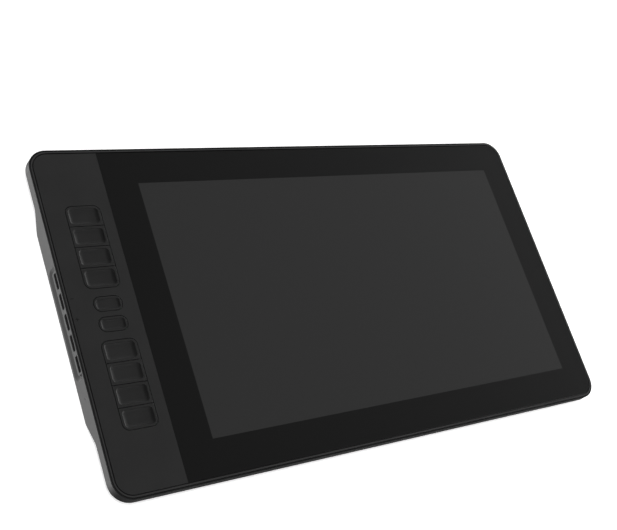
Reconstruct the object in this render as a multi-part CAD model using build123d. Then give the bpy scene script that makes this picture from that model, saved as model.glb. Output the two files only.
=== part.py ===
from build123d import *

import os
from math import atan2, cos, pi, sin, tan

# Graphics tablet with a 15.6-inch screen, lying flat with its screen up.
# X runs along the screen, Y up the screen and Z out of it. Z is 0 under the feet.
# Most heights are worked out from depths below the face of the glass.

# Screen and its dark borders, which set the size of the case
active_length = 344.16
active_width = 193.59
border_left = 26.2
border_right = 28.4
border_end = 28.8

# Back cover: a tray with a thicker band along its middle
corner_radius = 15.0
cover_wall = 1.3
cover_floor = 1.6
bulge_width = 137.0
bulge_depth = 7.2
ramp_run = 15.3
ramp_blend = 12.0
ramp_crest = 2.0
wall_lean = 0.5
top_round = 0.35
bottom_round = 1.3

# Front frame: its rim shows round the screen
parting_gap = 0.35
rim_width = 1.25
rim_round = 0.3
groove_width = 0.6
skirt_depth = 3.6
frame_plate = 1.4
ring_width = 3.6
window_gap = 1.0
frame_bridge = 0.9
part_gap = 0.3

# Glass, key panel and the tapes under them
glass_thickness = 1.1
glass_chamfer = 0.2
seam_gap = 0.1
tape_thickness = 0.3
tape_margin = 0.6

# Display cell, backlight tray, sensor board and shield, stacked under the glass
cell_border = 3.5
cell_driver_border = 6.0
cell_thickness = 1.4
tray_border = 1.2
tray_thickness = 2.4
sensor_thickness = 0.8
shield_thickness = 0.5

# Express keys: two clusters of square keys with two pill keys between them
keys_in_cluster = 4
key_length = 25.3
key_width = 15.16
key_gap = 0.35
cluster_corner = 5.2
pill_length = 20.4
pill_width = 10.4
pill_corner = 5.0
pill_spacing = 3.6
cluster_spacing = 5.75
strip_margin = 8.15
side_bay = 17.45
key_height = 3.4
key_travel = 0.6
key_round = 0.25
key_wall = 1.3
key_skin = 0.9
press_gap = 0.1
flange_reach = 1.2
flange_thickness = 0.8
flange_gap = 0.2
flange_room = 0.4
flange_width_share = 0.5
plunger_radius = 1.6

# Dish sunk into the top of each express key
dish_margin = 1.7
dish_corner = 2.5
dish_floor_corner = 0.8
dish_run = 3.2
dish_depth = 1.4
pill_dish_margin = 1.6
pill_dish_corner = 1.9
pill_dish_run = 2.0
pill_dish_depth = 1.1
dish_steps = 4

# Key board with a tact switch under each express key
switch_size = 4.5
switch_body = 1.4
switch_button = 0.4
button_radius = 1.1
key_board_thickness = 1.2
key_board_end = 2.0
key_board_gap = 0.1
post_radius = 1.9
post_reach_share = 0.93

# Side keys in the left wall
side_count = 5
side_pitch = 14.75
side_offset = -1.5
slot_length = 11.2
slot_height = 3.5
slot_top = 1.3
slot_corner = 1.0
slot_chamfer = 0.2
side_key_gap = 0.15
side_key_recess = 0.3
side_key_round = 0.3
side_key_travel = 0.5
side_wall = 3.3
side_flange_reach = 1.0
side_flange_thickness = 0.8
side_flange_gap = 0.25
side_button = 0.8
side_switch_body = 1.8
side_switch_height = 2.6
side_board_thickness = 1.0
side_board_height = 5.4
side_boss_width = 4.0
pad_margin = 1.7

# Finger scoop: the wall slopes in all round an island that holds the side keys
scoop_top = 1.4
scoop_bottom = 13.1
scoop_depth = 2.0
scoop_end = 3.8
scoop_corner = 6.0
island_bottom = 7.35
island_margin = 1.4
island_corner = 2.0

# Indicator window in the left wall
indicator_y = -54.0
indicator_depth = 5.3
indicator_radius = 0.9
indicator_length = 3.0
indicator_recess = 0.45

# Main board on standoffs in the bulge, with its edge at the right wall
board_length = 92.0
board_width = 96.0
board_thickness = 1.6
board_edge_gap = 0.6
board_hole_inset = 4.5
standoff_height = 2.0
standoff_radius = 3.0
board_corner = 2.0

# Sockets on the main board: places along Y as shares of half the board
socket_recess = 0.55
socket_gap = 0.3
socket_wall = 0.45
power_y_share = -0.58
power_width = 9.0
power_height = 6.4
power_depth = 13.0
power_nose_radius = 3.1
power_bore_radius = 2.8
power_bore_depth = 9.5
power_pin_radius = 1.0
power_pin_set_back = 1.0
power_pin_round = 0.3
power_foot_radius = 0.7
power_foot_length = 1.5
video_y_share = 0.02
video_width = 15.0
video_height = 5.6
video_depth = 12.0
video_cavity_depth = 10.5
video_bevel = 1.5
video_tongue_width = 11.0
video_tongue_thickness = 1.0
video_tongue_length = 8.0
data_y_share = 0.52
data_width = 9.0
data_height = 3.2
data_depth = 8.0
data_cavity_depth = 6.8
data_tongue_width = 6.6
data_tongue_thickness = 0.7
data_tongue_length = 5.0

# Chips and coils: place and size as shares of half the main board, and height
chip_shares = [
    (-0.15, 0.10, 0.22, 0.22),
    (-0.20, -0.45, 0.14, 0.12),
    (0.30, -0.35, 0.10, 0.10),
    (0.25, 0.42, 0.12, 0.08),
    (-0.55, 0.40, 0.12, 0.12),
    (-0.55, -0.30, 0.09, 0.14),
]
chip_height = 1.4
coil_shares = [(0.56, -0.72, 0.09, 0.09), (0.33, -0.75, 0.09, 0.09)]
coil_height = 2.2

# Flat cables and their connectors
cable_thickness = 0.25
cable_step = 6.0
connector_length = 6.0
connector_height = 1.8
connector_side = 2.0
display_cable_width = 30.0
sensor_cable_width = 16.0
key_cable_width = 12.0
side_cable_width = 10.0
cable_slot_gap = 1.0
cable_end_share = 0.62
cable_x_share = -0.1
side_cable_y_share = 0.55

# Screws: case screws, and the small screws of the boards and the shield
case_screw_radius = 1.25
case_screw_length = 4.2
case_head_radius = 2.4
case_head_height = 1.1
case_head_recess = 0.2
case_boss_radius = 3.2
case_pad_radius = 4.4
case_pad_height = 0.6
case_screw_inset = 11.5
case_screw_x_share = [-0.915, -0.32, 0.27, 0.88]
small_screw_radius = 0.9
small_head_radius = 1.7
small_head_height = 0.8
small_screw_grip = 1.8
screw_gap = 0.05
cross_width_share = 0.22
cross_length_share = 0.6
cross_depth_share = 0.45
shield_screw_x_share = [-0.85, 0.0, 0.85]

# Threaded inserts for a stand or an arm, and the bosses that hold them
insert_spacing = 75.0
insert_radius = 2.8
insert_bore = 2.0
insert_length = 5.0
insert_recess = 0.2
insert_boss_radius = 4.6
insert_boss_height = 5.6
insert_tail = 0.9

# Rubber feet on the bulge
foot_length = 46.0
foot_width = 9.0
foot_proud = 0.8
foot_recess = 0.8
foot_gap = 0.1
foot_inset_x = 46.0
foot_inset_y = 9.5
foot_round = 0.3

# Ribs on the floor of the cover, vent slots in the upper ramp, and a sunk field for a label
rib_thickness = 1.2
rib_inset_share = 0.93
bulge_rib_height = 2.4
bulge_rib_x_share = [-0.62, -0.4, 0.0, 0.4]
vent_count = 13
vent_pitch = 9.0
vent_width = 2.2
vent_length = 9.0
label_length = 78.0
label_width = 34.0
label_corner = 3.0
label_depth = 0.25

# One overrun for every cut that has to pass a face
overrun = 1.0


# The case follows from the screen, the borders, the key strip and what lies under the glass
pill_window = pill_width + 2 * key_gap
cluster_window = keys_in_cluster * key_width + (keys_in_cluster + 1) * key_gap
column_window = key_length + 2 * key_gap
strip_width = side_bay + column_window + strip_margin
case_length = strip_width + border_left + active_length + border_right
case_width = active_width + 2 * border_end
half_length = case_length / 2
half_width = case_width / 2

key_board_top = key_height + key_travel + press_gap + switch_button + switch_body
key_board_bottom = key_board_top + key_board_thickness
edge_depth = key_board_bottom + key_board_gap + cover_floor
case_depth = edge_depth + bulge_depth
screen_z = foot_proud + case_depth
edge_floor = edge_depth - cover_floor
bulge_floor = case_depth - cover_floor

frame_inset = cover_wall + parting_gap
well_inset = frame_inset + rim_width
insert_inset = well_inset + groove_width
seam_x = strip_width - half_length
active_x = seam_x + border_left + active_length / 2

plate_top = glass_thickness + tape_thickness
plate_bottom = plate_top + frame_plate
tray_top = glass_thickness + cell_thickness
tray_bottom = tray_top + tray_thickness
sensor_bottom = tray_bottom + sensor_thickness
shield_bottom = sensor_bottom + shield_thickness

cell_length = active_length + 2 * cell_border
cell_width = active_width + cell_border + cell_driver_border
cell_y = (cell_border - cell_driver_border) / 2
tray_length = cell_length + 2 * tray_border
tray_width = cell_width + 2 * tray_border
window_length = tray_length + 2 * window_gap
window_width = tray_width + 2 * window_gap
ring_length = window_length + 2 * ring_width
ring_breadth = window_width + 2 * ring_width

column_x = seam_x - strip_margin - column_window / 2
pill_y = (pill_spacing + pill_window) / 2
cluster_y = pill_spacing / 2 + pill_window + cluster_spacing + cluster_window / 2
column_end = cluster_y + cluster_window / 2
flange_window = key_length / 2 + flange_reach + flange_room

side_flange_out = side_wall + side_flange_gap
side_key_back = side_flange_out + side_flange_thickness
side_button_face = side_key_back + side_key_travel + press_gap
side_board_out = side_button_face + side_button + side_switch_body
side_board_in = side_board_out + side_board_thickness
side_board_top = plate_top + part_gap
side_board_bottom = side_board_top + side_board_height
side_middle = slot_top + slot_height / 2
side_face = wall_lean * (1 - side_middle / case_depth)
side_reach = (side_count - 1) * side_pitch / 2 + slot_length / 2
island_half = side_reach + island_margin
scoop_half = island_half + scoop_end
pad_half = scoop_half + pad_margin
side_board_half = island_half + side_boss_width
notch_half = pad_half + part_gap
notch_inset = side_board_in + small_head_height + part_gap
key_board_left = notch_inset + part_gap - half_length
key_board_right = seam_x - part_gap
post_left_x = (key_board_left + column_x - flange_window) / 2
post_right_x = (key_board_right + column_x + flange_window) / 2
post_y = [-column_end * post_reach_share, 0, column_end * post_reach_share]

board_bottom = bulge_floor - standoff_height
board_top = board_bottom - board_thickness
board_x = half_length - cover_wall - board_edge_gap - board_length / 2
case_screw_y = half_width - case_screw_inset
pad_face = edge_floor - case_pad_height
head_seat = edge_depth - case_head_recess - case_head_height

STAND = (Align.CENTER, Align.CENTER, Align.MIN)
CORNER = (Align.MIN, Align.MIN, Align.MIN)


def level(depth):
    """Height of a depth below the face of the glass."""
    return screen_z - depth


def block(x_low, x_high, y_low, y_high, deep, shallow):
    """A plain block, given by its sides and by two depths below the glass."""
    solid = Box(x_high - x_low, y_high - y_low, deep - shallow, align=CORNER)
    return Pos(x_low, y_low, level(deep)) * solid


def plate(length, width, radius, shallow, deep, x=0, y=0):
    """A flat plate with rounded corners between two depths."""
    outline = Pos(x, y, level(deep)) * RectangleRounded(length, width, radius)
    return extrude(outline, deep - shallow, dir=(0, 0, 1))


def sheet(length, width, shallow, deep, x=0, y=0):
    """A flat plate with square corners between two depths."""
    return block(x - length / 2, x + length / 2, y - width / 2, y + width / 2, deep, shallow)


def peg(x, y, radius, shallow, deep):
    """An upright round post or hole between two depths."""
    return Pos(x, y, level(deep)) * Cylinder(radius, deep - shallow, align=STAND)


def case_plate(inset, shallow, deep):
    """A plate with the outline of the case, drawn in by an inset."""
    length = case_length - 2 * inset
    width = case_width - 2 * inset
    return plate(length, width, corner_radius - inset, shallow, deep)


def side_plane(inset, y, depth):
    """A plane that stands in the left wall at an inset from its face, and looks inwards."""
    origin = (inset - half_length, y, level(depth))
    return Plane(origin=origin, x_dir=(0, 1, 0), z_dir=(1, 0, 0))


def wall_face(inset, y, depth, width, height, radius):
    """A rounded outline on such a plane."""
    return side_plane(inset, y, depth) * RectangleRounded(width, height, radius)


def right_plane(inset, y, depth):
    """The plane of a socket, at an inset from the right face and looking out of it."""
    origin = (half_length - inset, y, level(depth))
    return Plane(origin=origin, x_dir=(0, 1, 0), z_dir=(1, 0, 0))


def screw(x, y, seat, length, radius, head_radius, head_height):
    """A cross-head screw driven upwards, with its head under the seat."""
    shaft = peg(x, y, radius, seat - length, seat)
    head = peg(x, y, head_radius, seat, seat + head_height)
    arm = head_radius * cross_length_share
    slit = head_radius * cross_width_share
    depth = head_height * cross_depth_share
    bottom = seat + head_height
    across = block(x - arm, x + arm, y - slit, y + slit, bottom + overrun, bottom - depth)
    along = block(x - slit, x + slit, y - arm, y + arm, bottom + overrun, bottom - depth)
    return shaft + head - across - along


def small_screw(x, y, seat, grip):
    """One of the small screws that hold the boards and the shield."""
    return screw(x, y, seat, grip, small_screw_radius, small_head_radius, small_head_height)


def case_screw(x, y):
    """One of the screws that close the case."""
    return screw(
        x, y, head_seat, case_screw_length, case_screw_radius, case_head_radius, case_head_height,
    )


def screw_hole(x, y, shallow, deep):
    """A hole right through a board for a small screw."""
    return peg(x, y, small_screw_radius + screw_gap, shallow - overrun, deep + overrun)


def ribbon(points, width, across, along_x):
    """A flat cable through points (run, depth) with square folds, at one place across its run."""
    strip = Part()
    for (run_a, depth_a), (run_b, depth_b) in zip(points, points[1:]):
        low, high = sorted((run_a, run_b))
        shallow, deep = sorted((depth_a, depth_b))
        high += cable_thickness
        deep += cable_thickness
        side_low = across - width / 2
        side_high = across + width / 2
        if along_x:
            strip += block(low, high, side_low, side_high, deep, shallow)
        else:
            strip += block(side_low, side_high, low, high, deep, shallow)
    return strip


def save(node, *solids):
    """Write one node, as one solid or as a group of separate ones."""
    shape = solids[0] if len(solids) == 1 else Compound(children=list(solids))
    shape.label = node
    export_step(shape, f"parts/{node}.step")


def case_screw_places():
    """The case screws, along both long edges."""
    return [(share * half_length, side * case_screw_y) for side in (-1, 1) for share in case_screw_x_share]


def shield_screw_places():
    """The shield's screws, on the upper and lower sides of the frame's ring."""
    reach = (window_width + ring_width) / 2
    places = []
    for side in (-1, 1):
        for share in shield_screw_x_share:
            places.append((active_x + share * ring_length / 2, cell_y + side * reach))
    return places


def post_places():
    """The posts that carry the key board, on both sides of the keys."""
    return [(x, y) for x in (post_left_x, post_right_x) for y in post_y]


def board_screw_places():
    """The corners where the main board is screwed down."""
    reach_x = board_length / 2 - board_hole_inset
    reach_y = board_width / 2 - board_hole_inset
    return [(board_x + x * reach_x, y * reach_y) for x in (-1, 1) for y in (-1, 1)]


def insert_places():
    """The square of threaded inserts."""
    reach = insert_spacing / 2
    return [(x * reach, y * reach) for x in (-1, 1) for y in (-1, 1)]


def foot_places():
    """The four feet, near the corners of the bulge."""
    reach_x = half_length - foot_inset_x
    reach_y = bulge_width / 2 - foot_inset_y
    return [(x * reach_x, y * reach_y) for x in (-1, 1) for y in (-1, 1)]


def side_key_places():
    """The side keys along the left wall, from the top."""
    first = side_offset + (side_count - 1) * side_pitch / 2
    return [first - index * side_pitch for index in range(side_count)]


# Back cover

def tray_section(skin, crest_round, foot_round):
    """Section of the tray across its length, with its underside raised by a skin."""
    shift = skin * tan(atan2(bulge_depth, ramp_run) / 2)
    crest = bulge_width / 2 - shift
    foot = crest + ramp_run
    side = half_width + overrun
    edge_z = level(edge_depth) + skin
    bulge_z = level(case_depth) + skin
    top_z = level(0) + overrun
    right_half = [(crest, bulge_z), (foot, edge_z), (side, edge_z), (side, top_z)]
    right_radii = [crest_round, foot_round, 0, 0]
    left_half = [(-y, z) for y, z in reversed(right_half)]
    radii = right_radii[::-1] + right_radii
    return Plane.YZ * make_face(FilletPolyline(*left_half, *right_half, radius=radii, close=True))


def leaning_block():
    """A full block with the outline of the case, whose walls lean in towards the top."""
    length = case_length - 2 * wall_lean
    width = case_width - 2 * wall_lean
    foot = Pos(0, 0, level(case_depth)) * RectangleRounded(case_length, case_width, corner_radius)
    top = Pos(0, 0, level(0)) * RectangleRounded(length, width, corner_radius - wall_lean)
    return loft([foot, top], ruled=True)


def tray_body():
    """The tray as a full body: rounded outline, thin edges and the band along the middle."""
    section = tray_section(0, ramp_crest, ramp_blend)
    body = extrude(section, half_length, both=True) & leaning_block()
    body = fillet(body.faces().sort_by(Axis.Z)[-1].edges(), top_round)
    lower = []
    for edge in body.edges():
        middle = edge.center()
        reach = edge.bounding_box().size
        at_wall = abs(middle.X) > half_length - corner_radius or abs(middle.Y) > half_width - corner_radius
        upright = reach.Z > reach.X + reach.Y
        if at_wall and not upright and middle.Z < level(edge_depth) + bottom_round:
            lower.append(edge)
    return fillet(lower, bottom_round)


def scoop():
    """The slope that is cut round the island of the side keys."""
    lift = scoop_corner
    outer_height = scoop_bottom - scoop_top + lift
    inner_height = island_bottom - scoop_top + lift
    outer_middle = scoop_bottom - outer_height / 2
    inner_middle = island_bottom - inner_height / 2
    outer = wall_face(0, side_offset, outer_middle, 2 * scoop_half, outer_height, scoop_corner)
    inner = wall_face(scoop_depth, side_offset, inner_middle, 2 * island_half, inner_height, island_corner)
    foot = wall_face(-overrun, side_offset, inner_middle, 2 * island_half, inner_height, island_corner)
    island = extrude(foot, scoop_depth + 2 * overrun, dir=(1, 0, 0))
    slope = loft([outer, inner], ruled=True) - island
    below_top = block(
        -half_length - overrun, side_wall - half_length, side_offset - pad_half, side_offset + pad_half,
        case_depth, scoop_top,
    )
    return slope & below_top


def side_slot(y):
    """A slot through the left wall for one side key, with a chamfered mouth."""
    reach = side_face + slot_chamfer
    mouth_length = slot_length + 2 * reach
    mouth_height = slot_height + 2 * reach
    hole = extrude(
        wall_face(-overrun, y, side_middle, slot_length, slot_height, slot_corner),
        side_wall + 2 * overrun, dir=(1, 0, 0),
    )
    mouth = wall_face(0, y, side_middle, mouth_length, mouth_height, slot_corner + reach)
    throat = wall_face(reach, y, side_middle, slot_length, slot_height, slot_corner)
    return hole + loft([mouth, throat], ruled=True)


def power_plane(inset):
    """A plane across the axis of the power socket, at an inset from the right face."""
    return right_plane(inset, power_y_share * board_width / 2, board_top - power_height / 2)


def video_plane(inset):
    """The same for the video socket."""
    return right_plane(inset, video_y_share * board_width / 2, board_top - video_height / 2)


def data_plane(inset):
    """The same for the data socket."""
    return right_plane(inset, data_y_share * board_width / 2, board_top - data_height / 2)


def socket_holes():
    """The three holes in the right wall for the sockets."""
    depth = cover_wall + 2 * overrun
    inset = cover_wall + overrun
    margin = 2 * socket_gap
    power = Circle(power_nose_radius + socket_gap)
    video = RectangleRounded(video_width + margin, video_height + margin, socket_gap)
    data = SlotOverall(data_width + margin, data_height + margin)
    return [
        extrude(power_plane(inset) * power, depth),
        extrude(video_plane(inset) * video, depth),
        extrude(data_plane(inset) * data, depth),
    ]


def side_bosses():
    """The thick part of the left wall, and the bosses of the side board."""
    wall_x = -half_length + cover_wall / 2
    pad_top = frame_bridge + part_gap
    solids = [
        block(
            wall_x, side_wall - half_length, side_offset - pad_half, side_offset + pad_half,
            bulge_floor, pad_top,
        )
    ]
    for y, _ in side_screw_places():
        low = y - side_boss_width / 2
        high = y + side_boss_width / 2
        solids.append(block(wall_x, side_board_out - half_length, low, high, bulge_floor, side_board_top))
    return solids


def cover_posts():
    """Pads, standoffs, insert bosses and ribs on the floor of the cover."""
    solids = [peg(x, y, case_pad_radius, pad_face, edge_floor) for x, y in case_screw_places()]
    solids += [peg(x, y, standoff_radius, board_bottom, bulge_floor) for x, y in board_screw_places()]
    boss_top = bulge_floor - insert_boss_height
    solids += [peg(x, y, insert_boss_radius, boss_top, bulge_floor) for x, y in insert_places()]
    for side in (-1, 1):
        y = side * ring_breadth / 2 * rib_inset_share
        length = ring_length * rib_inset_share
        solids.append(sheet(length, rib_thickness, shield_bottom, edge_floor, active_x, y))
    rib_width = bulge_width - 2 * bulge_depth
    rib_top = bulge_floor - bulge_rib_height
    for share in bulge_rib_x_share:
        solids.append(sheet(rib_thickness, rib_width, rib_top, bulge_floor, share * half_length))
    return solids


def cover_holes():
    """Screw holes, insert holes, foot recesses, room for screw heads, vent slots and the label field."""
    cuts = []
    for x, y in case_screw_places():
        cuts.append(peg(x, y, case_screw_radius + 2 * screw_gap, pad_face - overrun, edge_depth))
        cuts.append(peg(x, y, case_head_radius + part_gap, head_seat, edge_depth + overrun))
    for x, y in board_screw_places():
        cuts.append(peg(x, y, small_screw_radius + screw_gap, board_bottom - overrun, bulge_floor))
    insert_top = case_depth - insert_recess - insert_length
    for x, y in insert_places():
        cuts.append(peg(x, y, insert_radius + screw_gap, insert_top, case_depth + overrun))
        cuts.append(peg(x, y, insert_bore, insert_top - insert_tail, case_depth))
    length = foot_length + 2 * foot_gap
    width = foot_width + 2 * foot_gap
    for x, y in foot_places():
        recess = case_depth - foot_recess
        cuts.append(plate(length, width, foot_width / 2, recess, case_depth + overrun, x, y))
    for x, y in post_places():
        head_end = key_board_bottom + small_head_height
        cuts.append(peg(x, y, small_head_radius + part_gap, key_board_bottom, head_end + part_gap))
    vent_y = bulge_width / 2 + ramp_run / 2
    for index in range(vent_count):
        x = (index - (vent_count - 1) / 2) * vent_pitch
        slot = Pos(x, vent_y, level(case_depth)) * SlotOverall(vent_length, vent_width, rotation=90)
        cuts.append(extrude(slot, bulge_depth + cover_floor + overrun, dir=(0, 0, 1)))
    label_top = case_depth - label_depth
    cuts.append(plate(label_length, label_width, label_corner, label_top, case_depth + overrun))
    return cuts


def side_holes():
    """What is cut into the left wall: scoop, key slots, screw holes and the indicator's hole."""
    cuts = [scoop()]
    cuts += [side_slot(y) for y in side_key_places()]
    for y, depth in side_screw_places():
        hole = side_plane(side_board_out, y, depth) * Circle(small_screw_radius + screw_gap)
        cuts.append(extrude(hole, -small_screw_grip))
    indicator = side_plane(-overrun, indicator_y, indicator_depth) * Circle(indicator_radius + screw_gap)
    cuts.append(extrude(indicator, cover_wall + 2 * overrun))
    return cuts


def make_back_cover():
    """The moulded tray, with its walls, floor, bosses, slots and holes."""
    hollow = extrude(tray_section(cover_floor, 0, 0), half_length, both=True)
    cover = tray_body() - (hollow & case_plate(cover_wall, -overrun, case_depth))
    cover += side_bosses() + cover_posts()
    return cover - (side_holes() + cover_holes() + socket_holes())


# Front frame

def key_windows(shallow, deep):
    """The openings of the frame's plate for the keys and their flanges."""
    openings = []
    for y in (-cluster_y, cluster_y):
        width = cluster_window + 2 * flange_room
        openings.append(plate(2 * flange_window, width, flange_room, shallow, deep, column_x, y))
    pill_reach = pill_length + 2 * (flange_reach + flange_room)
    for y in (-pill_y, pill_y):
        openings.append(plate(pill_reach, pill_window, flange_room, shallow, deep, column_x, y))
    return openings


def make_front_frame():
    """The moulded frame: rim, plate, ring round the display, screw bosses and posts."""
    frame = case_plate(frame_inset, 0, skirt_depth)
    frame = fillet(frame.faces().sort_by(Axis.Z)[-1].edges(), rim_round)
    frame -= case_plate(well_inset, -overrun, plate_top)
    frame -= case_plate(well_inset, plate_bottom, skirt_depth + overrun)
    ring = sheet(ring_length, ring_breadth, plate_bottom, tray_bottom, active_x, cell_y)
    frame += ring
    frame -= sheet(window_length, window_width, -overrun, tray_bottom + overrun, active_x, cell_y)
    for opening in key_windows(-overrun, skirt_depth + overrun):
        frame -= opening
    for x, y in case_screw_places():
        frame += peg(x, y, case_boss_radius, plate_bottom, pad_face)
        hole_top = head_seat - case_screw_length - part_gap
        frame -= peg(x, y, case_screw_radius + screw_gap, hole_top, pad_face + overrun)
    for x, y in post_places():
        frame += peg(x, y, post_radius, plate_bottom, key_board_top)
        hole_top = key_board_top - small_screw_grip
        frame -= peg(x, y, small_screw_radius + screw_gap, hole_top, key_board_top + overrun)
    for x, y in shield_screw_places():
        hole_top = tray_bottom - small_screw_grip
        frame -= peg(x, y, small_screw_radius + screw_gap, hole_top, tray_bottom + overrun)
    notch = block(
        -half_length, notch_inset - half_length, side_offset - notch_half, side_offset + notch_half,
        skirt_depth + overrun, frame_bridge,
    )
    return frame - notch


# Glass, key panel and tapes

def insert_plate():
    """The whole flush insert, before the seam splits it."""
    insert = case_plate(insert_inset, 0, glass_thickness)
    return chamfer(insert.faces().sort_by(Axis.Z)[-1].edges(), glass_chamfer)


def make_cover_glass():
    """The glass, from the seam to the right end."""
    left = seam_x + seam_gap / 2
    return insert_plate() & block(left, half_length, -half_width, half_width, case_depth, -overrun)


def make_key_panel():
    """The matt panel, with a window for each cluster and each pill key."""
    right = seam_x - seam_gap / 2
    panel = insert_plate() & block(-half_length, right, -half_width, half_width, case_depth, -overrun)
    for y in (-cluster_y, cluster_y):
        panel -= plate(column_window, cluster_window, cluster_corner, -overrun, plate_top, column_x, y)
    for y in (-pill_y, pill_y):
        length = pill_length + 2 * key_gap
        corner = pill_corner + key_gap
        panel -= plate(length, pill_window, corner, -overrun, plate_top, column_x, y)
    return panel


def make_glass_tape():
    """The adhesive frame round the display, under the glass."""
    tape = case_plate(insert_inset + tape_margin, glass_thickness, plate_top)
    left = seam_x + seam_gap + tape_margin
    tape &= block(left, half_length, -half_width, half_width, case_depth, -overrun)
    return tape - sheet(window_length, window_width, 0, case_depth, active_x, cell_y)


def make_panel_tape():
    """The adhesive sheet under the key panel, open at the keys and behind the side keys."""
    tape = case_plate(insert_inset + tape_margin, glass_thickness, plate_top)
    right = seam_x - seam_gap - tape_margin
    tape &= block(-half_length, right, -half_width, half_width, case_depth, -overrun)
    for opening in key_windows(0, case_depth):
        tape -= opening
    return tape - block(
        -half_length, notch_inset - half_length, side_offset - notch_half, side_offset + notch_half,
        case_depth, 0,
    )


# Display stack

def cable_slot(width, y):
    """A slot through the boards under the display for a flat cable."""
    x = board_x + cable_x_share * board_length
    length = width + 2 * cable_slot_gap
    breadth = cable_thickness + 2 * cable_slot_gap
    return sheet(length, breadth, tray_bottom - overrun, shield_bottom + overrun, x, y)


def make_sensor_board():
    """The pen sensor board, behind the backlight."""
    board = sheet(ring_length, ring_breadth, tray_bottom, sensor_bottom, active_x, cell_y)
    for x, y in shield_screw_places():
        board -= screw_hole(x, y, tray_bottom, sensor_bottom)
    return board - cable_slot(display_cable_width, -board_width / 2 * cable_end_share)


def make_shield_plate():
    """The metal plate behind the sensor board."""
    shield = sheet(ring_length, ring_breadth, sensor_bottom, shield_bottom, active_x, cell_y)
    for x, y in shield_screw_places():
        shield -= screw_hole(x, y, sensor_bottom, shield_bottom)
    shield -= cable_slot(display_cable_width, -board_width / 2 * cable_end_share)
    return shield - cable_slot(sensor_cable_width, board_width / 2 * cable_end_share)


# Express keys

def dish(length, width, corner, run, depth, y):
    """A dish with an elliptic side, cut down from the key's top."""
    sections = []
    for step in range(dish_steps + 1):
        angle = pi / 2 * step / dish_steps
        inward = run * (1 - cos(angle))
        radius = corner - (corner - dish_floor_corner) * inward / run
        outline = RectangleRounded(length - 2 * inward, width - 2 * inward, radius)
        sections.append(Pos(column_x, y, level(depth * sin(angle))) * outline)
    return loft(sections)


def finish_key(cap, length, width, corner, floor, y):
    """Hollow a cap from below, and give it its plunger and flanges."""
    roof = floor + key_skin
    inner_length = length - 2 * key_wall
    inner_width = width - 2 * key_wall
    cap -= plate(inner_length, inner_width, corner - key_wall, roof, key_height + overrun, column_x, y)
    cap += peg(column_x, y, plunger_radius, floor + key_skin / 2, key_height)
    top = glass_thickness + flange_gap
    reach = length + 2 * flange_reach
    flanges = sheet(reach, width * flange_width_share, top, top + flange_thickness, column_x, y)
    flanges -= sheet(length - key_wall, width, 0, case_depth, column_x, y)
    return cap + flanges


def make_cluster_keys(middle):
    """The square keys of one cluster, from the top, cut from one rounded outline."""
    span = keys_in_cluster * key_width + (keys_in_cluster - 1) * key_gap
    outline = RectangleRounded(key_length, span, cluster_corner - key_gap)
    keys = []
    for index in range(keys_in_cluster):
        y = middle + (span - key_width) / 2 - index * (key_width + key_gap)
        share = Pos(0, y - middle) * Rectangle(key_length + overrun, key_width)
        foot = Pos(column_x, middle, level(key_height)) * (outline & share)
        cap = extrude(foot, key_height, dir=(0, 0, 1))
        cap = fillet(cap.faces().sort_by(Axis.Z)[-1].edges(), key_round)
        length = key_length - 2 * dish_margin
        width = key_width - 2 * dish_margin
        cap -= dish(length, width, dish_corner, dish_run, dish_depth, y)
        keys.append(finish_key(cap, key_length, key_width, cluster_corner - key_gap, dish_depth, y))
    return keys


def make_pill_key(y):
    """One of the two pill keys in the middle."""
    cap = plate(pill_length, pill_width, pill_corner, 0, key_height, column_x, y)
    cap = fillet(cap.faces().sort_by(Axis.Z)[-1].edges(), key_round)
    length = pill_length - 2 * pill_dish_margin
    width = pill_width - 2 * pill_dish_margin
    cap -= dish(length, width, pill_dish_corner, pill_dish_run, pill_dish_depth, y)
    return finish_key(cap, pill_length, pill_width, pill_corner, pill_dish_depth, y)


def key_places():
    """Where the express keys stand along the column, from the top."""
    step = key_width + key_gap
    first = (keys_in_cluster - 1) * step / 2
    upper = [cluster_y + first - index * step for index in range(keys_in_cluster)]
    lower = [first - cluster_y - index * step for index in range(keys_in_cluster)]
    return upper + [pill_y, -pill_y] + lower


# Key board and switches

def make_key_board():
    """The board under the express keys, screwed to the frame's posts."""
    reach = column_end + key_board_end
    board = block(key_board_left, key_board_right, -reach, reach, key_board_bottom, key_board_top)
    for x, y in post_places():
        board -= screw_hole(x, y, key_board_top, key_board_bottom)
    return board


def make_key_switches():
    """One tact switch under each express key."""
    switches = []
    base = key_board_top - switch_body
    for y in key_places():
        body = sheet(switch_size, switch_size, base, key_board_top, column_x, y)
        switches.append(body + peg(column_x, y, button_radius, base - switch_button, base))
    return switches


# Side keys

def make_side_key(y):
    """A bar that stands in its slot, with a flange behind the wall."""
    length = slot_length - 2 * side_key_gap
    height = slot_height - 2 * side_key_gap
    inset = side_face + side_key_recess
    face = wall_face(inset, y, side_middle, length, height, slot_corner - side_key_gap)
    bar = extrude(face, side_key_back - inset, dir=(1, 0, 0))
    bar = fillet(bar.faces().sort_by(Axis.X)[0].edges(), side_key_round)
    reach = length / 2 + side_flange_reach
    flange = block(
        side_flange_out - half_length, side_key_back - half_length, y - reach, y + reach,
        side_middle + height / 2, side_middle - height / 2,
    )
    return bar + flange


def make_side_board():
    """The upright board behind the side keys, screwed to the cover's bosses."""
    board = block(
        side_board_out - half_length, side_board_in - half_length, side_offset - side_board_half,
        side_offset + side_board_half, side_board_bottom, side_board_top,
    )
    for y, depth in side_screw_places():
        hole = side_plane(side_board_out - overrun, y, depth) * Circle(small_screw_radius + screw_gap)
        board -= extrude(hole, side_board_thickness + 2 * overrun)
    return board


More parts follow.
